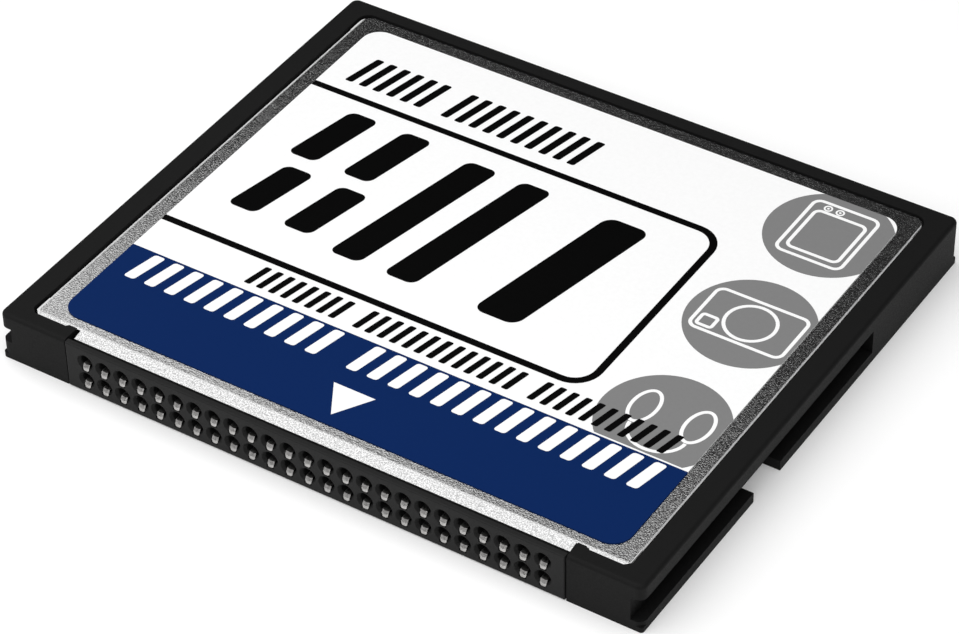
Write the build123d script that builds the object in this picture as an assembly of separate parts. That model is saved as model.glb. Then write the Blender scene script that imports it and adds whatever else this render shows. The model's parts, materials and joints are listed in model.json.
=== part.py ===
"""A memory card of the fifty-socket kind: a moulded frame with keyed guide grooves, two pressed
steel covers, a two-row socket connector and the populated board inside, in millimetres.

X runs along the connector, left to right as the label is seen with the connector nearest.
Y runs from the connector's face (front) to the back edge, Z from the lower cover to the label.
The origin is at the centre of the outline, on the plane that the card lies on.
"""

import os
from math import cos, radians, sin

from build123d import *

# The whole card
CARD_WIDTH = 42.8
CARD_LENGTH = 36.4
CARD_THICKNESS = 3.3

# Frame
FRAME_SETBACK = 0.07          # the posts stand this far behind the connector's face
FRAME_CORNER_RADIUS = 0.5
FRAME_EDGE_RADIUS = 0.25
FOOT_HEIGHT = 0.35            # the lowest part of the frame has squarer corners
FOOT_CORNER_RADIUS = 0.2
SIDE_RIM = 1.48               # frame's top, beside the cover
BACK_RIM = 1.03               # frame's top, behind the cover
SIDE_WALL = 2.5               # frame's side to the cavity
BACK_WALL = 1.9
POST_WIDTH = 4.72             # front posts, beside the connector
POST_DEPTH = 2.5
RAIL_WIDTH = 0.6              # rails that carry the board's edges
RAIL_START = 7.0
FRONT_RELIEF = 0.2            # the posts' shoulders are this much lower under the cover's slope

# Keyed guide grooves and latch notches of the frame's sides
FLANGE_THICKNESS = 1.01
GROOVE_LENGTH = 25.78
GROOVE_DEPTH = 0.76
LEFT_GROOVE_HEIGHT = 0.99
RIGHT_GROOVE_HEIGHT = 1.60
NOTCH_START = 12.0
NOTCH_LENGTH = 3.0
NOTCH_DEPTH = 1.6
NOTCH_WALL = 0.7              # between a notch and the slots beside it

# Covers
COVER_RECESS = 0.15           # the cover's face lies this far below the frame's rim
SHEET_THICKNESS = 0.15
COVER_GAP = 0.08              # gap all round between a cover and the frame
COVER_FRONT = 1.21            # front edge beside the tongue
COVER_BACK_RADIUS = 0.75
COVER_FRONT_CHAMFER = 0.35
SLOPE_START = 1.58            # from here forward the sheet bends down
SLOPE_BEND_RADIUS = 0.9
SLOPE_ANGLE = 11.0
FOLD_START = 2.75             # folded side walls
FOLD_BACK_MARGIN = 1.77       # from the cover's back edge
FOLD_DROP = 0.9
FOLD_INNER_RADIUS = 0.04
PLAIN_EDGE_INSET = 0.07       # past the folds, the edge lies this far inside them
TONGUE_FRONT = 0.74
TONGUE_SIDE_STEP = 0.1        # the tongue is this much narrower than the connector, each side
RELIEF_FRONT = 1.38           # relief notch beside each side of the tongue
RELIEF_WIDTH = 0.95
RELIEF_CHAMFER = 0.16

# Label
LABEL_SIDE_MARGIN = 1.11      # from the cover's side
LABEL_FRONT = 2.13
LABEL_BACK_MARGIN = 0.77      # from the cover's back edge
LABEL_RADIUS = 1.2
LABEL_THICKNESS = 0.06

# Connector
SOCKET_PITCH = 1.27
ROW_SPACING = 1.27
CONNECTOR_END = 1.35          # at least this far from the last socket's axis to the side
CONNECTOR_GAP = 0.08          # between the connector and each post
CONNECTOR_DEPTH = 6.6
CONNECTOR_EDGE_RADIUS = 0.08
LIP_HEIGHT = 3.2
LIP_DEPTH = 0.43
TROUGH_BACK = 1.75            # the low part behind the lip, under the cover's slope
TROUGH_GAP = 0.03
EAR_DEPTH = 2.4
EAR_HEIGHT = 2.2
EAR_GAP = 0.1
BORE_RADIUS = 0.42
BORE_DEPTH = 5.2
POCKET_WIDTH = 0.4            # pocket in the bore's floor, for the low end of the contact's ramp
POCKET_DEPTH = 0.3
POCKET_GAP = 0.02             # between the ramp's low end and the pocket's floor

# Contacts
PIN_RADIUS = 0.22             # of the host's pins
CONTACT_WIDTH = 0.3
CONTACT_THICKNESS = 0.08
TIP_SETBACK = 0.02
TIP_DROP = 0.52               # the ramp's low front end, below the bore's axis
RAMP_LENGTH = 0.31
TAIL_BEND_START = 0.2         # behind the connector's back face
TAIL_BEND_LENGTH = 0.6
TAIL_LENGTH = 2.5

# Circuit board
BOARD_THICKNESS = 0.5
BOARD_FRONT = 7.5
BOARD_EDGE_GAP = 0.1

# Insulating films inside the covers
FILM_THICKNESS = 0.05
FILM_MARGIN = 0.3

# Controller and memory, in packages that seat flat on the board
PACKAGE_TO_FILM = 0.05
PACKAGE_TAPER = 8.0
SUBSTRATE_HEIGHT = 0.2        # straight-sided base under the tapered moulding
CONTROLLER_SIZE = 9.0
CONTROLLER_FROM_SIDE = 9.9    # centre, from the cavity's right side
MEMORY_LENGTH = 18.0
MEMORY_WIDTH = 12.0
MEMORY_FROM_SIDE = 8.9        # centre, from the cavity's left side
ROW_GAP = 0.7                 # between one row of parts on the board and the next

# Voltage regulator, on gull-wing leads
REGULATOR_LENGTH = 2.9
REGULATOR_WIDTH = 1.6
REGULATOR_STANDOFF = 0.05
REGULATOR_OFFSET = -3.6       # centre, along X from the controller's
LEAD_THICKNESS = 0.12
LEAD_WIDTH = 0.4
LEAD_PITCH = 0.95
LEAD_REACH = 0.6
LEAD_SHOULDER = 0.15
LEAD_FOOT = 0.25

# Crystal
CRYSTAL_LENGTH = 3.2
CRYSTAL_WIDTH = 2.5
CRYSTAL_BASE_HEIGHT = 0.4
CRYSTAL_LID_HEIGHT = 0.3
CRYSTAL_LID_INSET = 0.15
CRYSTAL_OFFSET = 2.8          # centre, along X from the controller's

# Passive parts: length, width, height, then the first one's X from the controller's centre
TANTALUM_SIZE = (3.2, 1.6, 0.85)
TANTALUM_START = 0.4
TANTALUM_PITCH = 4.6
TANTALUM_COUNT = 2
TANTALUM_TAPER = 6.0
CAPACITOR_SIZE = (0.8, 1.6, 0.7)
CAPACITOR_START = -4.6
CAPACITOR_PITCH = 1.6
CAPACITOR_COUNT = 4
RESISTOR_SIZE = (0.8, 1.6, 0.45)
RESISTOR_START = 5.6
RESISTOR_PITCH = 1.2
RESISTOR_COUNT = 3
NETWORK_SIZE = (3.2, 1.6, 0.5)
NETWORK_START = -3.4
NETWORK_PITCH = 3.5
NETWORK_COUNT = 4

# Places that several pieces share
CARD_SIDE = CARD_WIDTH / 2
RECESS_SIDE = CARD_SIDE - SIDE_RIM
COVER_SIDE = RECESS_SIDE - COVER_GAP
COVER_BACK = CARD_LENGTH - BACK_RIM - COVER_GAP
FOLD_BACK = COVER_BACK - FOLD_BACK_MARGIN
CAVITY_SIDE = CARD_SIDE - SIDE_WALL
CAVITY_BACK = CARD_LENGTH - BACK_WALL
CONNECTOR_SIDE = CARD_SIDE - POST_WIDTH - CONNECTOR_GAP
SOCKETS_PER_ROW = int(2 * (CONNECTOR_SIDE - CONNECTOR_END) / SOCKET_PITCH) + 1
TONGUE_SIDE = CONNECTOR_SIDE - TONGUE_SIDE_STEP
MID_HEIGHT = CARD_THICKNESS / 2
UPPER_ROW_HEIGHT = MID_HEIGHT + ROW_SPACING / 2
LOWER_ROW_HEIGHT = MID_HEIGHT - ROW_SPACING / 2
COVER_TOP = CARD_THICKNESS - COVER_RECESS
COVER_UNDERSIDE = COVER_TOP - SHEET_THICKNESS
FILM_UNDERSIDE = COVER_UNDERSIDE - FILM_THICKNESS
BOARD_TOP = MID_HEIGHT + BOARD_THICKNESS / 2
BOARD_BOTTOM = MID_HEIGHT - BOARD_THICKNESS / 2
GROOVE_TOP = CARD_THICKNESS - FLANGE_THICKNESS
PACKAGE_HEIGHT = FILM_UNDERSIDE - PACKAGE_TO_FILM - BOARD_TOP
LEAD_MIDDLE = (REGULATOR_STANDOFF + PACKAGE_HEIGHT) / 2
CONTROLLER_X = CAVITY_SIDE - CONTROLLER_FROM_SIDE
UPPER_MEMORY_X = MEMORY_FROM_SIDE - CAVITY_SIDE
TAIL_END = CONNECTOR_DEPTH + TAIL_LENGTH
MEMORY_Y = TAIL_END + ROW_GAP + MEMORY_LENGTH / 2
NETWORK_Y = TAIL_END + ROW_GAP + NETWORK_SIZE[1] / 2
CONTROLLER_Y = NETWORK_Y + NETWORK_SIZE[1] / 2 + ROW_GAP + CONTROLLER_SIZE / 2
REGULATOR_Y = CONTROLLER_Y + CONTROLLER_SIZE / 2 + ROW_GAP + LEAD_REACH + REGULATOR_WIDTH / 2
CRYSTAL_Y = REGULATOR_Y + REGULATOR_WIDTH / 2 + LEAD_REACH + ROW_GAP + CRYSTAL_WIDTH / 2


def at(depth):
    """Y of a place that lies this deep behind the connector's face."""
    return depth - CARD_LENGTH / 2


def block(x_low, x_high, front, back, z_low, z_high):
    """A box between two X planes, two depths and two heights."""
    box = Box(x_high - x_low, back - front, z_high - z_low, align=(Align.MIN, Align.MIN, Align.MIN))
    return Pos(x_low, at(front), z_low) * box


def on_side(side, x_near, x_far, front, back, z_low, z_high):
    """A box on the left (side -1) or right (side 1), between two distances from the centre."""
    x_low, x_high = sorted((side * x_near, side * x_far))
    return block(x_low, x_high, front, back, z_low, z_high)


def flipped(shape):
    """The same piece on the card's lower side: turned half round about the card's long axis."""
    return Pos(0, 0, CARD_THICKNESS) * Rot(0, 180, 0) * shape


def rounded_plate(half_width, front, back, radius, z_low, z_high):
    """A flat plate with rounded corners, centred on the card."""
    plate = block(-half_width, half_width, front, back, z_low, z_high)
    return fillet(plate.edges().filter_by(Axis.Z), radius)


def cover_outline(half_width, grow):
    """The cover's flat outline: tongue, relief notches, cut front corners and round back corners."""
    tongue = TONGUE_SIDE + grow
    front = COVER_FRONT - grow
    relief = RELIEF_FRONT - grow
    shoulder = TONGUE_SIDE + RELIEF_WIDTH - grow
    right = [
        (tongue, at(TONGUE_FRONT - grow)),
        (tongue, at(relief)),
        (shoulder - RELIEF_CHAMFER, at(relief)),
        (shoulder, at(front)),
        (half_width - COVER_FRONT_CHAMFER, at(front)),
        (half_width, at(front + COVER_FRONT_CHAMFER)),
        (half_width, at(COVER_BACK + grow)),
    ]
    left = [(-x, y) for x, y in reversed(right)]
    face = make_face(Polyline(*right, *left, close=True))
    back_corners = face.vertices().group_by(Axis.Y)[-1]
    return fillet(back_corners, COVER_BACK_RADIUS + grow)


def frame_blank():
    """The frame's outside: rounded upright corners and top edge on a squarer foot."""
    foot = rounded_plate(CARD_SIDE, FRAME_SETBACK, CARD_LENGTH, FOOT_CORNER_RADIUS, 0, FOOT_HEIGHT)
    upper = rounded_plate(
        CARD_SIDE, FRAME_SETBACK, CARD_LENGTH, FRAME_CORNER_RADIUS, FOOT_HEIGHT, CARD_THICKNESS
    )
    top_edges = upper.edges().group_by(Axis.Z)[-1]
    return foot + fillet(top_edges, FRAME_EDGE_RADIUS)


def guide_grooves():
    """What the two keyed grooves and the two latch notches take out of the frame's sides."""
    cuts = []
    for side, height in ((-1, LEFT_GROOVE_HEIGHT), (1, RIGHT_GROOVE_HEIGHT)):
        floor = GROOVE_TOP - height
        wall = CARD_SIDE - GROOVE_DEPTH
        cuts.append(on_side(side, wall, CARD_WIDTH, 0, GROOVE_LENGTH, floor, GROOVE_TOP))
        notch_wall = CARD_SIDE - NOTCH_DEPTH
        notch_end = NOTCH_START + NOTCH_LENGTH
        cuts.append(on_side(side, notch_wall, CARD_WIDTH, NOTCH_START, notch_end, 0, floor))
    return cuts


def fold_spans(split):
    """Where a cover is folded down along its sides; the lower cover leaves room for the notches."""
    if not split:
        return [(FOLD_START, FOLD_BACK)]
    before = NOTCH_START - NOTCH_WALL - COVER_GAP
    after = NOTCH_START + NOTCH_LENGTH + NOTCH_WALL + COVER_GAP
    return [(FOLD_START, before), (after, FOLD_BACK)]


def cover_seat(split):
    """What the upper cover needs out of the frame: its recess, the room under its slope, its slots."""
    outline = cover_outline(RECESS_SIDE, COVER_GAP)
    recess = Pos(0, 0, COVER_UNDERSIDE) * extrude(outline, amount=CARD_THICKNESS)
    deeper = Pos(0, 0, COVER_UNDERSIDE - FRONT_RELIEF) * extrude(outline, amount=CARD_THICKNESS)
    under_slope = deeper & block(-CARD_SIDE, CARD_SIDE, 0, SLOPE_START, 0, CARD_THICKNESS)
    slot_inside = COVER_SIDE - SHEET_THICKNESS - COVER_GAP
    slot_floor = COVER_TOP - FOLD_DROP - COVER_GAP
    slots = [
        on_side(
            side, slot_inside, RECESS_SIDE, front - COVER_GAP, back + COVER_GAP, slot_floor, CARD_THICKNESS
        )
        for side in (-1, 1)
        for front, back in fold_spans(split)
    ]
    return [recess, under_slope, *slots]


def frame():
    """Moulded frame: posts beside the connector, rails for the board, seats for both covers."""
    opening = CONNECTOR_SIDE + CONNECTOR_GAP
    rail = CAVITY_SIDE - RAIL_WIDTH
    rail_back = CAVITY_BACK - RAIL_WIDTH
    cuts = [
        block(-opening, opening, 0, POST_DEPTH, 0, CARD_THICKNESS),
        block(-CAVITY_SIDE, CAVITY_SIDE, POST_DEPTH, CAVITY_BACK, BOARD_BOTTOM, CARD_THICKNESS),
        block(-CAVITY_SIDE, CAVITY_SIDE, POST_DEPTH, RAIL_START, 0, BOARD_BOTTOM),
        block(-rail, rail, RAIL_START, rail_back, 0, BOARD_BOTTOM),
    ]
    cuts += guide_grooves()
    cuts += cover_seat(split=False)
    cuts += [flipped(cut) for cut in cover_seat(split=True)]
    return frame_blank() - cuts


def bent_sheet():
    """The full-width cover sheet seen from the side: flat, then bent down towards the front."""
    centre = (at(SLOPE_START), COVER_TOP - SLOPE_BEND_RADIUS)
    upper_arc = CenterArc(centre, SLOPE_BEND_RADIUS, 90, SLOPE_ANGLE)
    lower_arc = CenterArc(centre, SLOPE_BEND_RADIUS - SHEET_THICKNESS, 90, SLOPE_ANGLE)
    forward = Vector(-cos(radians(SLOPE_ANGLE)), -sin(radians(SLOPE_ANGLE))) * SLOPE_START
    back = at(COVER_BACK)
    upper_end = upper_arc @ 1 + forward
    lower_end = lower_arc @ 1 + forward
    front_line = Polyline(upper_arc @ 1, upper_end, lower_end, lower_arc @ 1)
    back_line = Polyline(upper_arc @ 0, (back, COVER_TOP), (back, COVER_UNDERSIDE), lower_arc @ 0)
    profile = Plane.YZ * make_face([upper_arc, front_line, lower_arc, back_line])
    return extrude(profile, amount=CARD_SIDE, both=True)


def right_fold(front, back):
    """The right side's bend and wall between two depths, drawn as seen from the front."""
    outer_radius = FOLD_INNER_RADIUS + SHEET_THICKNESS
    centre = (COVER_SIDE - outer_radius, COVER_TOP - outer_radius)
    outer_arc = CenterArc(centre, outer_radius, 0, 90)
    inner_arc = CenterArc(centre, FOLD_INNER_RADIUS, 0, 90)
    foot = COVER_TOP - FOLD_DROP
    wall = Polyline(outer_arc @ 0, (COVER_SIDE, foot), (COVER_SIDE - SHEET_THICKNESS, foot), inner_arc @ 0)
    section = Plane.XZ * make_face([outer_arc, wall, inner_arc, Line(inner_arc @ 1, outer_arc @ 1)])
    return Pos(0, at(front), 0) * extrude(section, amount=front - back)


def cover(split):
    """Pressed steel cover: plate with tongue, front edge bent down, sides folded into the frame."""
    prism = extrude(cover_outline(COVER_SIDE - PLAIN_EDGE_INSET, 0), amount=CARD_THICKNESS)
    plate = bent_sheet() & prism
    bend_start = COVER_SIDE - FOLD_INNER_RADIUS - SHEET_THICKNESS
    for front, back in fold_spans(split):
        fold = right_fold(front, back)
        for side in (-1, 1):
            plate -= on_side(side, bend_start, CARD_SIDE, front, back, 0, CARD_THICKNESS)
            plate += fold if side > 0 else mirror(fold, about=Plane.YZ)
    return plate


def top_cover():
    """The cover that carries the label."""
    return cover(split=False)


def bottom_cover():
    """The plain cover underneath, with folds that leave out the latch notches."""
    return flipped(cover(split=True))


def label():
    """Printed label, stuck on the top cover."""
    side = COVER_SIDE - LABEL_SIDE_MARGIN
    back = COVER_BACK - LABEL_BACK_MARGIN
    return rounded_plate(side, LABEL_FRONT, back, LABEL_RADIUS, COVER_TOP, COVER_TOP + LABEL_THICKNESS)


def top_insulator():
    """Insulating film on the inner face of the top cover."""
    side = CAVITY_SIDE - RAIL_WIDTH - FILM_MARGIN
    front = RAIL_START + FILM_MARGIN
    back = CAVITY_BACK - RAIL_WIDTH - FILM_MARGIN
    return block(-side, side, front, back, FILM_UNDERSIDE, COVER_UNDERSIDE)


def bottom_insulator():
    """Insulating film on the inner face of the bottom cover."""
    return flipped(top_insulator())


def socket_places():
    """X of every socket in a row."""
    first = -(SOCKETS_PER_ROW - 1) * SOCKET_PITCH / 2
    return [first + number * SOCKET_PITCH for number in range(SOCKETS_PER_ROW)]


def socket_cut():
    """One socket, about its axis at the connector's face: round bore, tip pocket, contact slot."""
    centred = (Align.CENTER, Align.CENTER, Align.MIN)
    on_floor = (Align.CENTER, Align.MIN, Align.MIN)
    bore = Rot(-90, 0, 0) * Cylinder(BORE_RADIUS, BORE_DEPTH, align=centred)
    pocket_drop = TIP_DROP + CONTACT_THICKNESS + POCKET_GAP
    pocket = Pos(0, 0, -pocket_drop) * Box(POCKET_WIDTH, POCKET_DEPTH, pocket_drop, align=on_floor)
    slot_drop = PIN_RADIUS + CONTACT_THICKNESS
    slot = Pos(0, 0, -slot_drop) * Box(CONTACT_WIDTH, CONNECTOR_DEPTH, CONTACT_THICKNESS, align=on_floor)
    return bore + pocket + slot


def connector_housing():
    """Moulded connector: two rows of sockets behind a full-height lip, with an ear on each side."""
    lip_low = MID_HEIGHT - LIP_HEIGHT / 2
    slope_drop = (SLOPE_START - TONGUE_FRONT) * sin(radians(SLOPE_ANGLE))
    trough_top = COVER_UNDERSIDE - slope_drop - TROUGH_GAP
    side_profile = [
        (at(0), lip_low),
        (at(LIP_DEPTH), lip_low),
        (at(LIP_DEPTH), CARD_THICKNESS - trough_top),
        (at(TROUGH_BACK), CARD_THICKNESS - trough_top),
        (at(TROUGH_BACK), CARD_THICKNESS - COVER_UNDERSIDE),
        (at(CONNECTOR_DEPTH), CARD_THICKNESS - COVER_UNDERSIDE),
    ]
    upper_half = [(y, CARD_THICKNESS - z) for y, z in reversed(side_profile)]
    profile = Plane.YZ * make_face(Polyline(*side_profile, *upper_half, close=True))
    body = extrude(profile, amount=CONNECTOR_SIDE, both=True)
    front_edges = body.edges().group_by(Axis.Y)[0]
    body = fillet(front_edges, CONNECTOR_EDGE_RADIUS)
    ear_front = POST_DEPTH + EAR_GAP
    ear_low = MID_HEIGHT - EAR_HEIGHT / 2
    ear_side = CAVITY_SIDE - EAR_GAP
    body += block(-ear_side, ear_side, ear_front, ear_front + EAR_DEPTH, ear_low, ear_low + EAR_HEIGHT)
    one = socket_cut()
    sockets = [
        Pos(x, at(0), z) * one for z in (UPPER_ROW_HEIGHT, LOWER_ROW_HEIGHT) for x in socket_places()
    ]
    return body - sockets


def contact(row_height, tail_top):
    """One contact at X 0: ramp behind the mouth, beam under the pin, tail bent to the board."""
    beam_top = row_height - PIN_RADIUS
    bend_start = CONNECTOR_DEPTH + TAIL_BEND_START
    upper = [
        (TIP_SETBACK, row_height - TIP_DROP),
        (TIP_SETBACK + RAMP_LENGTH, beam_top),
        (bend_start, beam_top),
        (bend_start + TAIL_BEND_LENGTH, tail_top),
        (TAIL_END, tail_top),
    ]
    lower = [(depth, z - CONTACT_THICKNESS) for depth, z in reversed(upper)]
    outline = Polyline(*[(at(depth), z) for depth, z in upper + lower], close=True)
    return extrude(Plane.YZ * make_face(outline), amount=CONTACT_WIDTH / 2, both=True)


def contact_row(row_height, tail_top):
    """A full row of contacts."""
    one = contact(row_height, tail_top)
    return Compound(children=[Pos(x, 0, 0) * one for x in socket_places()])


def upper_contacts():
    """Upper row, soldered to the board's top."""
    return contact_row(UPPER_ROW_HEIGHT, BOARD_TOP + CONTACT_THICKNESS)


def lower_contacts():
    """Lower row, soldered to the board's underside."""
    return contact_row(LOWER_ROW_HEIGHT, BOARD_BOTTOM)


def circuit_board():
    """Board, carried on the frame's rails."""
    side = CAVITY_SIDE - BOARD_EDGE_GAP
    back = CAVITY_BACK - BOARD_EDGE_GAP
    return block(-side, side, BOARD_FRONT, back, BOARD_BOTTOM, BOARD_TOP)


def package(length, width):
    """A flat-seated package centred on the origin: straight substrate, moulding with draft."""
    outline = Rectangle(length, width)
    substrate = extrude(outline, amount=SUBSTRATE_HEIGHT)
    rise = PACKAGE_HEIGHT - SUBSTRATE_HEIGHT
    moulding = Pos(0, 0, SUBSTRATE_HEIGHT) * extrude(outline, amount=rise, taper=PACKAGE_TAPER)
    return substrate + moulding


def controller_chip():
    """Controller on the board's top."""
    return Pos(CONTROLLER_X, at(CONTROLLER_Y), BOARD_TOP) * package(CONTROLLER_SIZE, CONTROLLER_SIZE)


def upper_memory_chip():
    """Memory on the board's top, long way along the card."""
    return Pos(UPPER_MEMORY_X, at(MEMORY_Y), BOARD_TOP) * package(MEMORY_WIDTH, MEMORY_LENGTH)


def lower_memory_chip():
    """The same memory under the middle of the board."""
    return flipped(Pos(0, at(MEMORY_Y), BOARD_TOP) * package(MEMORY_WIDTH, MEMORY_LENGTH))


def regulator_place():
    """Centre of the voltage regulator on the board's top."""
    return Pos(CONTROLLER_X + REGULATOR_OFFSET, at(REGULATOR_Y), BOARD_TOP)


def voltage_regulator():
    """Small moulded package with draft above and below its leads."""
    outline = Rectangle(REGULATOR_LENGTH, REGULATOR_WIDTH)
    band_low = LEAD_MIDDLE - LEAD_THICKNESS / 2
    band_top = LEAD_MIDDLE + LEAD_THICKNESS / 2
    band = Pos(0, 0, band_low) * extrude(outline, amount=LEAD_THICKNESS)
    above = extrude(outline, amount=PACKAGE_HEIGHT - band_top, taper=PACKAGE_TAPER)
    below = extrude(outline, amount=REGULATOR_STANDOFF - band_low, taper=PACKAGE_TAPER)
    return regulator_place() * (band + Pos(0, 0, band_top) * above + Pos(0, 0, band_low) * below)


def lead():
    """One gull-wing lead that starts at X 0 on the package's side and runs out along X."""
    top = LEAD_MIDDLE + LEAD_THICKNESS / 2
    upper = [
        (0, top),
        (LEAD_SHOULDER, top),
        (LEAD_REACH - LEAD_FOOT, LEAD_THICKNESS),
        (LEAD_REACH, LEAD_THICKNESS),
    ]
    lower = [(x, z - LEAD_THICKNESS) for x, z in reversed(upper)]
    outline = Polyline(*upper, *lower, close=True)
    return extrude(Plane.XZ * make_face(outline), amount=LEAD_WIDTH / 2, both=True)


def regulator_leads():
    """Three leads on one side of the regulator and two on the other."""
    half = REGULATOR_WIDTH / 2
    front = [Rot(0, 0, 270) * Pos(half, step * LEAD_PITCH, 0) * lead() for step in (-1, 0, 1)]
    back = [Rot(0, 0, 90) * Pos(half, step * LEAD_PITCH, 0) * lead() for step in (-1, 1)]
    return Compound(children=[regulator_place() * one for one in front + back])


def crystal_place():
    """Centre of the crystal on the board's top."""
    return Pos(CONTROLLER_X + CRYSTAL_OFFSET, at(CRYSTAL_Y), BOARD_TOP)


def crystal_base():
    """Ceramic base of the crystal."""
    return crystal_place() * extrude(Rectangle(CRYSTAL_LENGTH, CRYSTAL_WIDTH), amount=CRYSTAL_BASE_HEIGHT)


def crystal_lid():
    """Metal lid on the crystal's base."""
    length = CRYSTAL_LENGTH - 2 * CRYSTAL_LID_INSET
    width = CRYSTAL_WIDTH - 2 * CRYSTAL_LID_INSET
    lid = extrude(Rectangle(length, width), amount=CRYSTAL_LID_HEIGHT)
    return crystal_place() * Pos(0, 0, CRYSTAL_BASE_HEIGHT) * lid


def passive_row(size, taper, start, pitch, count, depth):
    """A row of equal small parts on the board's top, placed from the controller's centre."""
    length, width, height = size
    one = extrude(Rectangle(length, width), amount=height, taper=taper)
    first = CONTROLLER_X + start
    return Compound(children=[Pos(first + number * pitch, at(depth), BOARD_TOP) * one for number in range(count)])


def tantalum_capacitors():
    """Moulded tantalum capacitors beside the regulator."""
    return passive_row(
        TANTALUM_SIZE, TANTALUM_TAPER, TANTALUM_START, TANTALUM_PITCH, TANTALUM_COUNT, REGULATOR_Y
    )


def ceramic_capacitors():
    """Ceramic chip capacitors, in the last row."""
    return passive_row(CAPACITOR_SIZE, 0, CAPACITOR_START, CAPACITOR_PITCH, CAPACITOR_COUNT, CRYSTAL_Y)


def resistors():
    """Chip resistors, in the last row."""
    return passive_row(RESISTOR_SIZE, 0, RESISTOR_START, RESISTOR_PITCH, RESISTOR_COUNT, CRYSTAL_Y)


def resistor_networks():
    """Resistor networks between the connector and the controller."""
    return passive_row(NETWORK_SIZE, 0, NETWORK_START, NETWORK_PITCH, NETWORK_COUNT, NETWORK_Y)


PIECES = (
    frame,
    top_cover,
    bottom_cover,
    label,
    top_insulator,
    bottom_insulator,
    connector_housing,
    upper_contacts,
    lower_contacts,
    circuit_board,
    controller_chip,
    upper_memory_chip,
    lower_memory_chip,
    voltage_regulator,
    regulator_leads,
    crystal_base,
    crystal_lid,
    tantalum_capacitors,
    ceramic_capacitors,
    resistors,
    resistor_networks,
)

os.makedirs("parts", exist_ok=True)
for piece in PIECES:
    export_step(piece(), f"parts/{piece.__name__}.step")
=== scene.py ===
import json
from math import atan2, copysign, cos, pi, radians, sin, sqrt, tan

import bmesh
import bpy
from mathutils import Matrix, Vector


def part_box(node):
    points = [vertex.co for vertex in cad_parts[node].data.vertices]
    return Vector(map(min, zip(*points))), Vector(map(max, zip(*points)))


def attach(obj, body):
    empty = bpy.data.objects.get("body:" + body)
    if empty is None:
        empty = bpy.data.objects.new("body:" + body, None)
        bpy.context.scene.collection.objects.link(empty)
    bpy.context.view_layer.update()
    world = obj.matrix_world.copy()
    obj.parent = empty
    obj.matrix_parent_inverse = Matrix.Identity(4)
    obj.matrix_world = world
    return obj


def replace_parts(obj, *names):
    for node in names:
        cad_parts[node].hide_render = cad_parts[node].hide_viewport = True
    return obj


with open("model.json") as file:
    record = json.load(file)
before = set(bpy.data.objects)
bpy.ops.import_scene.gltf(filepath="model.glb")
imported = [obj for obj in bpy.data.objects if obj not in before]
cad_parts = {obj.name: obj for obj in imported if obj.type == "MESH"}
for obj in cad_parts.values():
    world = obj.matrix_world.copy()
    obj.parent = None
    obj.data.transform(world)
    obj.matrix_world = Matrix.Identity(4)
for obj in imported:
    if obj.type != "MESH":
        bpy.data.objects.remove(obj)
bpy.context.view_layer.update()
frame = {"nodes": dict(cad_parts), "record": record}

# Sizes and places are in millimetres, and times MM where Blender takes metres
MM = 0.001

# Camera, fitted to the photograph, with its angles in degrees
CAMERA_TARGET = Vector((1.1967, -2.4778, 1.65)) * MM
CAMERA_DISTANCE = 209.902 * MM
CAMERA_TURN = 33.362
CAMERA_HEIGHT = 40.3145
CAMERA_ROLL = -1.1433
CAMERA_LENS = 136.895
SENSOR_WIDTH = 36

# Softbox over the front left, and the even light of the world
LAMP_PLACE = Vector((-160, -200, 200)) * MM
LAMP_SIZE = (900 * MM, 700 * MM)
LAMP_ENERGY = 3.1
LAMP_TURN = -13
WORLD_STRENGTH = 0.03
WHITE = (1, 1, 1, 1)

# The floor lies just clear of the card's foot, and glows more where the lamp's light fades
FLOOR_GAP = 0.01
FLOOR_HALF = 1500
FLOOR_TONE = 0.9
GLOW_START = 60
GLOW_END = 260
GLOW_NEAR = 0.12
GLOW_FAR = 0.95

# The card, read from the frame
mounts = {mount["name"]: mount for mount in frame["record"]["mounts"]}
first_socket = Vector(mounts["pin_socket_1"]["pos_m"]) / MM
cover_low, cover_high = (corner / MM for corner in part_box("top_cover"))
label_low, label_high = (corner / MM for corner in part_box("label"))
housing_low, housing_high = (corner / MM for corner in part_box("connector_housing"))
board_low, board_high = (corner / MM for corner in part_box("circuit_board"))
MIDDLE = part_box("frame")[1].z / MM / 2
FACE = housing_low.y

# Painted highlight: a pale matt line along each of the cover's two folds, in place of the light that the
# curved folds reflect
LEFT_FOLD_HIGHLIGHT = 0.24
RIGHT_FOLD_HIGHLIGHT = 0.14
FOLD_HIGHLIGHT_TONE = 0.95
FOLD_HIGHLIGHT_ROUGHNESS = 0.95

# The part of the noise that a grain spreads from dark to light
NOISE_LOW = 0.35
NOISE_HIGH = 0.65

# Connector: depths are measured from its face, and DRAFT is the smallest step in its shape
PITCH = 1.27
SOCKETS = round(-2 * first_socket.x / PITCH) + 1
SOCKET_SIDES = 32
MOUTH_RADIUS = 0.55
FUNNEL_DEPTH = 0.2
BORE_RADIUS = mounts["pin_socket_1"]["dims"]["r_mm"]
BORE_DEPTH = mounts["pin_socket_1"]["dims"]["length_mm"]
POCKET_WIDTH = 0.48
POCKET_DEPTH = 0.3
POCKET_DROP = 0.64
BODY_SIDE = 16.6
EDGE_RADIUS = 0.08
DRAFT = 0.02
MERGE_DISTANCE = DRAFT / 10
LIP_DEPTH = 0.36
LIP_HALF = housing_high.z - MIDDLE
TROUGH_BACK = 1.75
TROUGH_HALF = 1.163
BODY_HALF = 1.35
EAR_FRONT = 2.6
EAR_BACK = 5.0
BODY_BACK = housing_high.y - FACE

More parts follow.
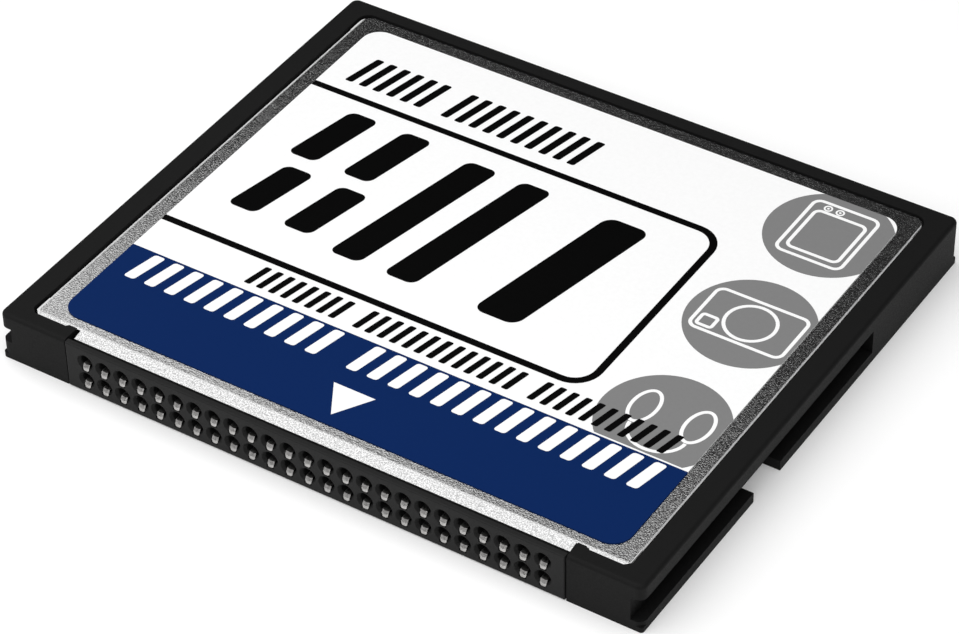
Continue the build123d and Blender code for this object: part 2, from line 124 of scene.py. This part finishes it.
# Contacts: the front's points are given as depth and height over the socket's axis
CONTACT_WIDTH = 0.42
CONTACT_THICKNESS = 0.08
CONTACT_FRONT = ((0.02, -0.54), (0.06, -0.44), (0.17, -0.25), (0.32, -0.22), (6.8, -0.22))
RAMP_BACK = 0.4
CONTACT_HOLLOW = 0.06
TAIL_BEND_END = 7.4
TAIL_LENGTH = 2.5
TAIL_END = BODY_BACK + TAIL_LENGTH
TIP_BACK = 0.04
TIP_RADIUS = 0.1

# Print on the label, in X and in depth from the connector's face
INK_THICKNESS = 0.006
SLANT = tan(radians(12))
BAND_BACK = 9.167
LABEL_LEFT = -18.59
LABEL_RIGHT = 18.81
LABEL_FRONT = label_low.y - FACE
LABEL_BACK = 34.36
LABEL_CORNER = 1.2
LABEL_THICKNESS = label_high.z - label_low.z
CORNER_SEGMENTS = 8
LINE = 0.48
BOX_SIDE = 10.448
BOX_FRONT = 12.146
BOX_BACK = 27.685
BOX_CORNER = 1.8
ARROW = ((-1.68, 5.2), (-0.3, 2.88), (1.12, 5.2))

# Groups of slanted bars, where the photograph has large letters and lines of words
MARKS = {
    "print_mark_middle": dict(left=-7.3, groups=(2,), width=2.1, gap=1.7, front=14.6, back=26.0),
    "print_mark_right": dict(left=2.6, groups=(1,), width=2.9, gap=0, front=14.6, back=25.8),
    "print_mark_front": dict(left=-15.7, groups=(2,), width=2.0, gap=1.9, front=15.2, back=20.0),
    "print_mark_back": dict(left=-15.4, groups=(2,), width=2.0, gap=1.9, front=21.1, back=26.4),
}
FRONT_WORDS = dict(left=-10.9, groups=(8, 13, 11), width=0.43, gap=0.405, front=9.7, back=11.5)
BACK_WORDS = dict(left=-16.8, groups=(6, 10), width=0.54, gap=0.46, front=28.9, back=31.7)
BAND_WORDS = dict(left=-17.1, groups=(10, 14), width=0.73, gap=0.677, front=6.55, back=9.0)

# Discs, whose signs are placed from the disc's centre
DISC_RADIUS = 3.886
DISC_X = 15.586
DISC_GAP = 0.12
DISC_DEPTHS = (11.985, 21.74, 31.054)
DISC_SIDES = 72
SIGN_LINE = 0.22
RING_SIDES = 40
DOT_SIDES = 16
BOW_PLACE = (0.21, -0.93)
BOW_RADIUS = 1.87
BOW_STRETCH = 0.87
BOW_END = -0.95
OVAL_X = 0.2
OVAL_SPREAD = 1.714
OVAL_DEPTH = 0.6
OVAL_RADIUS = 0.87
OVAL_STRETCH = 1.73
LENS_X = 0.03
LENS_RADIUS = 1.65
DOT_X = (-1.19, -0.4)
DOT_DEPTH = 2.17
DOT_RING = 0.28
DOT_RADIUS = 0.08


# Small helpers


def new_object(name, data):
    """An object with that data, linked to the scene."""
    made = bpy.data.objects.new(name, data)
    bpy.context.scene.collection.objects.link(made)
    return made


def only_points(items):
    """The points among the items that a bmesh operator gives back."""
    return [item for item in items if isinstance(item, bmesh.types.BMVert)]


def everything(bm):
    """All points, edges and faces there are."""
    return bm.verts[:] + bm.edges[:] + bm.faces[:]


def copy_to(bm, places):
    """Moves everything to the first place, and a copy of it to each other place."""
    one = everything(bm)
    for place in places[1:]:
        copy = bmesh.ops.duplicate(bm, geom=one)["geom"]
        bmesh.ops.translate(bm, vec=place, verts=only_points(copy))
    bmesh.ops.translate(bm, vec=places[0], verts=only_points(one))


def neutral(tone):
    """A colour with no hue."""
    return (tone, tone, tone)


def calculate(material, operation, first, second):
    """The result of a math operation on two sockets."""
    node = material.node_tree.nodes.new("ShaderNodeMath")
    node.operation = operation
    material.node_tree.links.new(first, node.inputs[0])
    material.node_tree.links.new(second, node.inputs[1])
    return node.outputs["Value"]


def map_range(material, source, start, end, low=0, high=1):
    """A socket's value, carried over from one range to another."""
    node = material.node_tree.nodes.new("ShaderNodeMapRange")
    node.inputs["From Min"].default_value = start
    node.inputs["From Max"].default_value = end
    node.inputs["To Min"].default_value = low
    node.inputs["To Max"].default_value = high
    material.node_tree.links.new(source, node.inputs["Value"])
    return node.outputs["Result"]


def mix(material, kind, factor, first, second):
    """A mix node of that kind, whose first and second are fixed values."""
    node = material.node_tree.nodes.new("ShaderNodeMix")
    node.data_type = kind
    material.node_tree.links.new(factor, node.inputs["Factor"])
    node.inputs["A"].default_value = first
    node.inputs["B"].default_value = second
    return node


# Stage


def set_camera():
    """The camera stands where the photograph was taken from."""
    turn, height = radians(CAMERA_TURN), radians(CAMERA_HEIGHT)
    back = Vector((sin(turn) * cos(height), -cos(turn) * cos(height), sin(height)))
    right = Vector((0, 0, 1)).cross(back).normalized()
    right.rotate(Matrix.Rotation(radians(CAMERA_ROLL), 3, back))
    up = back.cross(right)
    data = bpy.data.cameras.new("camera")
    data.lens = CAMERA_LENS
    data.sensor_width = SENSOR_WIDTH
    data.clip_start = 1 * MM
    camera = new_object("camera", data)
    turned = Matrix((right, up, back)).transposed().to_4x4()
    camera.matrix_world = Matrix.Translation(CAMERA_TARGET + back * CAMERA_DISTANCE) @ turned
    bpy.context.scene.camera = camera


def set_light():
    """A wide softbox, which the steel reflects, and a dim even world."""
    scene = bpy.context.scene
    scene.view_settings.view_transform = "Standard"
    scene.world = bpy.data.worlds.new("studio")
    scene.world.use_nodes = True
    background = scene.world.node_tree.nodes["Background"]
    background.inputs["Color"].default_value = WHITE
    background.inputs["Strength"].default_value = WORLD_STRENGTH
    data = bpy.data.lights.new("overhead_softbox", "AREA")
    data.shape = "RECTANGLE"
    data.size, data.size_y = LAMP_SIZE
    data.energy = LAMP_ENERGY
    lamp = new_object("overhead_softbox", data)
    lamp.location = LAMP_PLACE
    lamp.rotation_euler.z = radians(LAMP_TURN)


def floor_paper():
    """Pale paper that the camera, reflections and clear materials see as white."""
    material, shader = finish("floor_paper", neutral(FLOOR_TONE), roughness=0.9, specular=0.0)
    nodes, links = material.node_tree.nodes, material.node_tree.links
    rays = nodes.new("ShaderNodeLightPath")
    seen = calculate(material, "MAXIMUM", rays.outputs["Is Camera Ray"], rays.outputs["Is Glossy Ray"])
    seen = calculate(material, "MAXIMUM", seen, rays.outputs["Is Transmission Ray"])
    place = nodes.new("ShaderNodeTexCoord")
    distance = nodes.new("ShaderNodeVectorMath")
    distance.operation = "LENGTH"
    links.new(place.outputs["Object"], distance.inputs[0])
    away = distance.outputs["Value"]
    glow = map_range(material, away, GLOW_START * MM, GLOW_END * MM, GLOW_NEAR, GLOW_FAR)
    shader.inputs["Emission Color"].default_value = WHITE
    links.new(calculate(material, "MULTIPLY", seen, glow), shader.inputs["Emission Strength"])
    return material


def set_floor():
    """The floor, which keeps the card's shadow."""
    bm = bmesh.new()
    bmesh.ops.create_grid(bm, x_segments=1, y_segments=1, size=FLOOR_HALF * MM)
    bmesh.ops.translate(bm, vec=(0, 0, -FLOOR_GAP * MM), verts=bm.verts)
    mesh = bpy.data.meshes.new("floor")
    bm.to_mesh(mesh)
    bm.free()
    mesh.materials.append(floor_paper())
    new_object("floor", mesh)


# Finishes


def finish(name, colour, roughness, metallic=0.0, specular=0.5):
    """A plain finish and its shader, for grain() to add the detail to."""
    material = bpy.data.materials.new(name)
    material.use_nodes = True
    shader = material.node_tree.nodes["Principled BSDF"]
    shader.inputs["Base Color"].default_value = (*colour, 1)
    shader.inputs["Roughness"].default_value = roughness
    shader.inputs["Metallic"].default_value = metallic
    shader.inputs["Specular IOR Level"].default_value = specular
    return material, shader


def grain(material, size, height, colours, roughness, stretch=(1, 1, 1), detail=3):
    """Grain of that size and height, which also varies the colour and the roughness."""
    nodes, links = material.node_tree.nodes, material.node_tree.links
    shader = nodes["Principled BSDF"]
    place = nodes.new("ShaderNodeTexCoord")
    mapping = nodes.new("ShaderNodeMapping")
    mapping.inputs["Scale"].default_value = stretch
    links.new(place.outputs["Object"], mapping.inputs["Vector"])
    noise = nodes.new("ShaderNodeTexNoise")
    noise.inputs["Scale"].default_value = 1 / (size * MM)
    noise.inputs["Detail"].default_value = detail
    links.new(mapping.outputs["Vector"], noise.inputs["Vector"])
    spread = map_range(material, noise.outputs["Fac"], NOISE_LOW, NOISE_HIGH)
    tone = mix(material, "RGBA", spread, (*colours[0], 1), (*colours[1], 1))
    links.new(tone.outputs["Result"], shader.inputs["Base Color"])
    links.new(map_range(material, spread, 0, 1, *roughness), shader.inputs["Roughness"])
    bump = nodes.new("ShaderNodeBump")
    bump.inputs["Distance"].default_value = height * MM
    links.new(noise.outputs["Fac"], bump.inputs["Height"])
    links.new(bump.outputs["Normal"], shader.inputs["Normal"])
    return material


def moulded_black(name, tone, roughness, specular=0.15):
    """Black plastic from a mould with a fine satin texture."""
    material, _ = finish(name, neutral(tone), roughness, specular=specular)
    colours = (neutral(tone * 0.7), neutral(tone * 1.4))
    spread = (roughness - 0.06, roughness + 0.08)
    return grain(material, size=0.09, height=0.006, colours=colours, roughness=spread)


def blasted_steel():
    """Cover steel with a fine blasted grain, and a painted highlight in pale matt colour along the folds.
    """
    material, shader = finish("cover_steel", neutral(0.6), 0.3, metallic=1.0)
    colours = (neutral(0.34), neutral(0.7))
    grain(material, size=0.08, height=0.009, colours=colours, roughness=(0.13, 0.24), detail=1)
    nodes, links = material.node_tree.nodes, material.node_tree.links
    place = nodes.new("ShaderNodeTexCoord")
    split = nodes.new("ShaderNodeSeparateXYZ")
    links.new(place.outputs["Object"], split.inputs["Vector"])
    # Masks of the painted highlight, full at each fold and fading inward
    highlight_lines = [
        map_range(material, split.outputs["X"], (edge + inward) * MM, (edge + inward / 2) * MM)
        for edge, inward in ((cover_low.x, LEFT_FOLD_HIGHLIGHT), (cover_high.x, -RIGHT_FOLD_HIGHLIGHT))
    ]
    fold_highlight = calculate(material, "MAXIMUM", *highlight_lines)
    painted_highlight = (*neutral(FOLD_HIGHLIGHT_TONE), 1)
    # Along the folds the painted highlight, a pale line, takes the place of the grain's colour and
    # roughness
    for name, kind, value in (("Base Color", "RGBA", painted_highlight), ("Roughness", "FLOAT", FOLD_HIGHLIGHT_ROUGHNESS)):
        change = mix(material, kind, fold_highlight, value, value)
        links.new(shader.inputs[name].links[0].from_socket, change.inputs["A"])
        links.new(change.outputs["Result"], shader.inputs[name])
    return material


def film(name, colour, roughness=0.4, specular=0.3):
    """Printed film: nearly even, with a very fine tooth."""
    material, _ = finish(name, colour, roughness, specular=specular)
    colours = (colour, tuple(min(1, part * 1.02) for part in colour))
    spread = (roughness - 0.03, roughness + 0.05)
    return grain(material, size=0.25, height=0.001, colours=colours, roughness=spread)


def bright_metal(name, colour, roughness):
    """Plated metal with a faint grain drawn along the card."""
    material, _ = finish(name, colour, roughness, metallic=1.0)
    dark = tuple(part * 0.94 for part in colour)
    return grain(
        material,
        size=0.05,
        height=0.001,
        colours=(dark, colour),
        roughness=(roughness - 0.03, roughness + 0.05),
        stretch=(1, 0.1, 1),
    )


def board_laminate():
    """Green solder mask over woven glass."""
    material, _ = finish("board_laminate", (0.01, 0.09, 0.03), 0.35)
    colours = ((0.006, 0.06, 0.02), (0.012, 0.1, 0.035))
    return grain(material, size=0.3, height=0.004, colours=colours, roughness=(0.3, 0.42))


def ceramic(name, colour):
    """Sintered ceramic, matt and finely speckled."""
    material, _ = finish(name, colour, 0.6)
    dark = tuple(part * 0.8 for part in colour)
    return grain(material, size=0.06, height=0.002, colours=(dark, colour), roughness=(0.55, 0.7))


# Pieces


def as_piece(bm, name, material):
    """Finishes a bmesh in millimetres as a piece that rides on the card."""
    bmesh.ops.recalc_face_normals(bm, faces=bm.faces)
    bmesh.ops.scale(bm, vec=(MM, MM, MM), verts=bm.verts)
    mesh = bpy.data.meshes.new(name)
    bm.to_mesh(mesh)
    bm.free()
    mesh.materials.append(material)
    piece = new_object(name, mesh)
    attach(piece, "root")
    return piece


def dress(node, material):
    """Gives a CAD node its finish."""
    for place in frame["nodes"][node].material_slots:
        place.material = material


# Connector


def standing_ring(bm, radius, depth):
    """A ring of points round a socket's axis, upright, at a depth behind the connector's face."""
    upright = Matrix.Translation((0, FACE + depth, 0)) @ Matrix.Rotation(radians(90), 4, "X")
    return bmesh.ops.create_circle(bm, segments=SOCKET_SIDES, radius=radius, matrix=upright)["verts"]


def loop_edges(points):
    """The edges that join these points to each other."""
    inside = set(points)
    return list({edge for point in points for edge in point.link_edges if edge.other_vert(point) in inside})


def open_pocket(ring, radius):
    """Moves a ring's five lowest points out to the pocket for the contact's tip."""
    half = POCKET_WIDTH / 2
    for point in ring:
        # Steps along the ring from its lowest point
        steps = round(atan2(point.co.x, -point.co.z) * SOCKET_SIDES / (2 * pi))
        if abs(steps) <= 1:
            point.co.x = steps * half
            point.co.z = -POCKET_DROP
        elif abs(steps) == 2:
            point.co.x = copysign(half, steps)
            point.co.z = -sqrt(radius**2 - half**2)


def socket_cell(bm):
    """One socket with its square of the connector's face: funnel, tip pocket, blind bore."""
    half = PITCH / 2
    border = standing_ring(bm, half * sqrt(2), 0)
    for point in border:
        point.co.x = max(-half, min(half, point.co.x))
        point.co.z = max(-half, min(half, point.co.z))
    rings = [border]
    for radius, depth in ((MOUTH_RADIUS, 0), (BORE_RADIUS, FUNNEL_DEPTH), (BORE_RADIUS, POCKET_DEPTH)):
        ring = standing_ring(bm, radius, depth)
        open_pocket(ring, radius)
        rings.append(ring)
    for depth in (POCKET_DEPTH + DRAFT, BORE_DEPTH):
        rings.append(standing_ring(bm, BORE_RADIUS, depth))
    for front, back in zip(rings, rings[1:]):
        bmesh.ops.bridge_loops(bm, edges=loop_edges(front) + loop_edges(back))
    bmesh.ops.contextual_create(bm, geom=loop_edges(rings[-1]))


def carry_back(bm, edges, depth, half_height):
    """Draws the connector's outline back to a depth, with its top and bottom at that height."""
    made = bmesh.ops.extrude_edge_only(bm, edges=edges)["geom"]
    points = only_points(made)
    top = max(point.co.z for point in points)
    bottom = min(point.co.z for point in points)
    for point in points:
        point.co.y = FACE + depth
        if point.co.z > top - DRAFT / 2:
            point.co.z = MIDDLE + half_height
        elif point.co.z < bottom + DRAFT / 2:
            point.co.z = MIDDLE - half_height
    return [item for item in made if isinstance(item, bmesh.types.BMEdge) and len(item.link_faces) == 1]


def front_face(bm):
    """Makes the connector's face with all its sockets, as wide as the body, and gives its outline."""
    socket_cell(bm)
    places = [
        (first_socket.x + number * PITCH, 0, MIDDLE + row * PITCH / 2)
        for row in (1, -1)
        for number in range(SOCKETS)
    ]
    copy_to(bm, places)
    bmesh.ops.remove_doubles(bm, verts=bm.verts, dist=MERGE_DISTANCE)
    outline = carry_back(bm, [edge for edge in bm.edges if edge.is_boundary], 0, LIP_HALF)
    points = {point for edge in outline for point in edge.verts}
    cells_side = max(point.co.x for point in points)
    for point in points:
        if abs(point.co.x) > cells_side - DRAFT:
            point.co.x = copysign(BODY_SIDE, point.co.x)
    return outline


def grow_ears(bm):
    """Pulls the middle of both sides out into the ears that locate the connector."""
    for side in (-1, 1):
        faces = [
            face
            for face in bm.faces
            if all(side * point.co.x > BODY_SIDE - DRAFT for point in face.verts)
            and all(abs(point.co.z - MIDDLE) < BODY_HALF - DRAFT for point in face.verts)
            and EAR_FRONT < face.calc_center_median().y - FACE < EAR_BACK
        ]
        points = only_points(bmesh.ops.extrude_face_region(bm, geom=faces)["geom"])
        bmesh.ops.translate(bm, vec=(side * (housing_high.x - BODY_SIDE), 0, 0), verts=points)
        bmesh.ops.delete(bm, geom=[face for face in faces if face.is_valid], context="FACES")


def connector(plastic):
    """Moulded connector: face with sockets, full-height lip, trough, body and ears."""
    bm = bmesh.new()
    front_edges = front_face(bm)
    outline = front_edges
    for depth, half_height in (
        (LIP_DEPTH, LIP_HALF),
        (LIP_DEPTH + DRAFT, TROUGH_HALF),
        (TROUGH_BACK, TROUGH_HALF),
        (TROUGH_BACK + DRAFT, BODY_HALF),
        (EAR_FRONT, BODY_HALF),
        (EAR_BACK, BODY_HALF),
        (BODY_BACK, BODY_HALF),
    ):
        outline = carry_back(bm, outline, depth, half_height)
    bmesh.ops.contextual_create(bm, geom=outline)
    grow_ears(bm)
    bmesh.ops.bevel(
        bm, geom=front_edges, offset=EDGE_RADIUS, segments=2, profile=0.5, affect="EDGES", material=-1
    )
    return as_piece(bm, "connector_moulding", plastic)


# Contacts


def contact_strip(bm, axis, tail_low):
    """One contact's bent strip, as wide as the contact and cut lengthwise in four."""
    tail_high = tail_low + CONTACT_THICKNESS
    upper = [(depth, axis + height) for depth, height in CONTACT_FRONT]
    upper += [(TAIL_BEND_END, tail_high), (TAIL_END, tail_high)]
    lower = [(depth, height - CONTACT_THICKNESS) for depth, height in reversed(upper)]
    face = bm.faces.new([bm.verts.new((0, FACE + depth, height)) for depth, height in upper + lower])
    far = only_points(bmesh.ops.extrude_face_region(bm, geom=[face])["geom"])
    bmesh.ops.translate(bm, vec=(CONTACT_WIDTH, 0, 0), verts=far)
    bmesh.ops.translate(bm, vec=(-CONTACT_WIDTH / 2, 0, 0), verts=bm.verts)
    for step in (-1, 0, 1):
        place = (step * CONTACT_WIDTH / 4, 0, 0)
        bmesh.ops.bisect_plane(bm, geom=everything(bm), plane_co=place, plane_no=(1, 0, 0))


def shape_tip(bm):
    """Hollows a contact's ramp across its width and rounds the two corners of its tip."""
    for point in bm.verts:
        if point.co.y < FACE + RAMP_BACK:
            point.co.z += CONTACT_HOLLOW * (2 * point.co.x / CONTACT_WIDTH) ** 2
    corners = [
        edge
        for edge in bm.edges
        if all(point.co.y < FACE + TIP_BACK for point in edge.verts)
        and abs(edge.verts[0].co.x + edge.verts[1].co.x) > CONTACT_WIDTH - DRAFT
    ]
    bmesh.ops.bevel(
        bm, geom=corners, offset=TIP_RADIUS, segments=3, profile=0.5, affect="EDGES", material=-1
    )
    bmesh.ops.remove_doubles(bm, verts=bm.verts, dist=MERGE_DISTANCE)


def contact_row(name, row, tail_low, metal):
    """A row of sprung contacts: rounded ramp, beam along the bore, tail bent to the board."""
    bm = bmesh.new()
    contact_strip(bm, MIDDLE + row * PITCH / 2, tail_low)
    shape_tip(bm)
    copy_to(bm, [(first_socket.x + number * PITCH, 0, 0) for number in range(SOCKETS)])
    return as_piece(bm, name, metal)


# Print on the label


def patch(bm, points):
    """A flat patch from a few corners, given as X and depth."""
    return bm.faces.new([bm.verts.new((x, FACE + depth, 0)) for x, depth in points])


def rectangle(bm, left, right, front, back):
    """A flat rectangular patch, whose first two corners are the front ones."""
    return patch(bm, [(left, front), (right, front), (right, back), (left, back)])


def round_off(bm, corners, radius):
    """Rounds corners of a flat patch."""
    bmesh.ops.bevel(
        bm,
        geom=corners,
        offset=radius,
        segments=CORNER_SEGMENTS,
        profile=0.5,
        affect="VERTICES",
        material=-1,
    )


def hollow(bm, face, width):
    """Leaves only a line of that width along a patch's edge."""
    bmesh.ops.inset_region(bm, faces=[face], thickness=width, use_boundary=True, use_even_offset=True)
    bmesh.ops.delete(bm, geom=[face], context="FACES")


def thicken(bm, low, thickness):
    """Makes flat patches solid, from that height upwards."""
    top = only_points(bmesh.ops.extrude_face_region(bm, geom=bm.faces[:])["geom"])
    bmesh.ops.translate(bm, vec=(0, 0, thickness), verts=top)
    bmesh.ops.translate(bm, vec=(0, 0, low), verts=bm.verts)


def printed(bm, name, ink, layer, drop=0):
    """Lays flat patches on the label as a layer of ink, which may also run down the label's edge."""
    thicken(bm, label_high.z + layer * INK_THICKNESS - drop, INK_THICKNESS + drop)
    return as_piece(bm, name, ink)


def label_sheet(material):
    """The label's own sheet, with round corners."""
    bm = bmesh.new()
    face = rectangle(bm, LABEL_LEFT, LABEL_RIGHT, LABEL_FRONT, LABEL_BACK)
    round_off(bm, list(face.verts), LABEL_CORNER)
    thicken(bm, label_low.z, LABEL_THICKNESS)
    return as_piece(bm, "label_sheet", material)


def print_band(ink):
    """Blue band along the label's front, which also covers the label's edge there."""
    bm = bmesh.new()
    face = rectangle(
        bm,
        LABEL_LEFT - INK_THICKNESS,
        LABEL_RIGHT + INK_THICKNESS,
        LABEL_FRONT - INK_THICKNESS,
        BAND_BACK,
    )
    round_off(bm, list(face.verts)[:2], LABEL_CORNER)
    printed(bm, "print_band", ink, 0, drop=LABEL_THICKNESS)


def print_box(ink):
    """Black line round the middle field, open at the label's left edge."""
    bm = bmesh.new()
    half = LINE / 2
    face = patch(
        bm,
        [
            (LABEL_LEFT, BOX_FRONT - half),
            (BOX_SIDE + half, BOX_FRONT - half),
            (BOX_SIDE + half, BOX_BACK + half),
            (LABEL_LEFT, BOX_BACK + half),
            (LABEL_LEFT, BOX_BACK - half),
            (BOX_SIDE - half, BOX_BACK - half),
            (BOX_SIDE - half, BOX_FRONT + half),
            (LABEL_LEFT, BOX_FRONT + half),
        ],
    )
    corners = list(face.verts)
    outer, inner = corners[1:3], corners[5:7]
    round_off(bm, outer, BOX_CORNER)
    round_off(bm, inner, BOX_CORNER - LINE)
    printed(bm, "print_box", ink, 1)


def slanted_bar(bm, left, width, front, back):
    """One slanted bar with rounded corners, with its left side at X left halfway along."""
    lean = SLANT * (back - front) / 2
    right = left + width
    face = patch(
        bm, [(left - lean, front), (right - lean, front), (right + lean, back), (left + lean, back)]
    )
    round_off(bm, list(face.verts), width / 4)


def print_bars(name, ink, layer, left, groups, width, gap, front, back):
    """Groups of slanted bars from the left end on, with one bar left out between groups."""
    bm = bmesh.new()
    for count in groups:
        for _ in range(count):
            slanted_bar(bm, left, width, front, back)
            left += width + gap
        left += width + gap
    printed(bm, name, ink, layer)


def cut_off(bm, place, outward):
    """Cuts away what lies outward of a place."""
    bmesh.ops.bisect_plane(bm, geom=everything(bm), plane_co=place, plane_no=outward, clear_outer=True)


def print_discs(grey, white):
    """Grey discs cut off at the label's edge and the band, each with a simple sign."""
    bm = bmesh.new()
    for depth in DISC_DEPTHS:
        place = Matrix.Translation((DISC_X, FACE + depth, 0))
        bmesh.ops.create_circle(bm, cap_ends=True, segments=DISC_SIDES, radius=DISC_RADIUS, matrix=place)
    for edge, outward in (
        ((LABEL_RIGHT, 0, 0), (1, 0, 0)),
        ((0, FACE + LABEL_BACK, 0), (0, 1, 0)),
        ((0, FACE + BAND_BACK + DISC_GAP, 0), (0, -1, 0)),
    ):
        cut_off(bm, edge, outward)
    printed(bm, "print_discs", grey, 0)
    bm = bmesh.new()
    oval_sign(bm, DISC_DEPTHS[0])
    lens_sign(bm, DISC_DEPTHS[1])
    card_sign(bm, DISC_DEPTHS[2])
    printed(bm, "print_signs", white, 1)


def rounded_box(bm, disc_depth, place, size, corner):
    """Line round a box with rounded corners, centred on a place from the disc's centre."""
    x, depth = DISC_X + place[0], disc_depth + place[1]
    width, length = size
    face = rectangle(bm, x - width / 2, x + width / 2, depth - length / 2, depth + length / 2)
    before = set(bm.faces) - {face}
    round_off(bm, list(face.verts), corner)
    (face,) = set(bm.faces) - before
    hollow(bm, face, SIGN_LINE)


def round_line(bm, x, depth, radius, line=SIGN_LINE, stretch=1):
    """A circle or an oval drawn as a line."""
    place = Matrix.Translation((x, FACE + depth, 0)) @ Matrix.Diagonal((1, stretch, 1, 1))
    made = bmesh.ops.create_circle(bm, cap_ends=True, segments=RING_SIDES, radius=radius, matrix=place)
    hollow(bm, made["verts"][0].link_faces[0], line)


def card_sign(bm, depth):
    """Two rounded boxes, one in the other, with two small ringed dots over the inner one."""
    rounded_box(bm, depth, place=(-0.08, 0.02), size=(4.48, 5.44), corner=0.62)
    rounded_box(bm, depth, place=(-0.06, -0.15), size=(3.57, 4.03), corner=0.5)
    for x in DOT_X:
        round_line(bm, DISC_X + x, depth + DOT_DEPTH, DOT_RING, line=SIGN_LINE / 2)
        place = Matrix.Translation((DISC_X + x, FACE + depth + DOT_DEPTH, 0))
        bmesh.ops.create_circle(bm, cap_ends=True, segments=DOT_SIDES, radius=DOT_RADIUS, matrix=place)


def lens_sign(bm, depth):
    """A round lens and a small window in a box."""
    rounded_box(bm, depth, place=(-0.07, 0.03), size=(6.19, 4.02), corner=0.62)
    round_line(bm, DISC_X + LENS_X, depth, LENS_RADIUS)
    rounded_box(bm, depth, place=(-2.2, -1.06), size=(1.2, 1.14), corner=0.28)


def oval_sign(bm, depth):
    """Two upright ovals joined by a bow, which comes first because everything there is cut."""
    bow_x, bow_depth = BOW_PLACE
    round_line(bm, DISC_X + bow_x, depth + bow_depth, BOW_RADIUS, stretch=BOW_STRETCH)
    cut_off(bm, (0, FACE + depth + BOW_END, 0), (0, 1, 0))
    for side in (-1, 1):
        x = DISC_X + OVAL_X + side * OVAL_SPREAD
        round_line(bm, x, depth + OVAL_DEPTH, OVAL_RADIUS, stretch=OVAL_STRETCH)


def print_arrow(white):
    """Arrow that points to the connector."""
    bm = bmesh.new()
    patch(bm, ARROW)
    printed(bm, "print_arrow", white, 1)


def print_label():
    """Everything printed on the label."""
    white = film("ink_white", neutral(0.92))
    black = film("ink_black", neutral(0.002), specular=0.02)
    blue = film("ink_blue", (0.0034, 0.019, 0.096), specular=0.02)
    grey = film("ink_grey", neutral(0.205), specular=0.1)
    print_band(blue)
    print_box(black)
    print_discs(grey, white)
    print_arrow(white)
    for name, bars in MARKS.items():
        print_bars(name, black, 1, **bars)
    print_bars("print_words_front", black, 2, **FRONT_WORDS)
    print_bars("print_words_back", black, 1, **BACK_WORDS)
    print_bars("print_words_band", white, 1, **BAND_WORDS)


set_camera()
set_light()
set_floor()

steel = blasted_steel()
frame_plastic = moulded_black("frame_plastic", tone=0.004, roughness=0.65)
connector_plastic = moulded_black("connector_plastic", tone=0.008, roughness=0.6, specular=0.21)
contact_metal = bright_metal("contact_metal", (0.52, 0.51, 0.5), roughness=0.3)
package_moulding = moulded_black("package_moulding", tone=0.02, roughness=0.55)
insulating_film = film("insulating_film", (0.5, 0.22, 0.03), roughness=0.25)

dress("frame", frame_plastic)
dress("top_cover", steel)
dress("bottom_cover", steel)
dress("top_insulator", insulating_film)
dress("bottom_insulator", insulating_film)
dress("circuit_board", board_laminate())
for node in ("controller_chip", "upper_memory_chip", "lower_memory_chip", "voltage_regulator"):
    dress(node, package_moulding)
dress("regulator_leads", bright_metal("lead_metal", (0.7, 0.7, 0.72), roughness=0.35))
dress("crystal_base", ceramic("crystal_ceramic", (0.25, 0.22, 0.2)))
dress("crystal_lid", bright_metal("crystal_metal", (0.75, 0.72, 0.65), roughness=0.3))
dress("tantalum_capacitors", ceramic("capacitor_moulding", (0.6, 0.35, 0.05)))
dress("ceramic_capacitors", ceramic("ceramic", (0.45, 0.33, 0.22)))
dress("resistors", ceramic("resistor_body", (0.03, 0.03, 0.035)))
dress("resistor_networks", ceramic("network_body", (0.03, 0.03, 0.035)))

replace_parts(connector(connector_plastic), "connector_housing")
upper_springs = contact_row("upper_springs", 1, board_high.z, contact_metal)
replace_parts(upper_springs, "upper_contacts")
lower_springs = contact_row("lower_springs", -1, board_low.z - CONTACT_THICKNESS, contact_metal)
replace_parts(lower_springs, "lower_contacts")
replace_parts(label_sheet(film("label_film", neutral(0.92))), "label")
print_label()
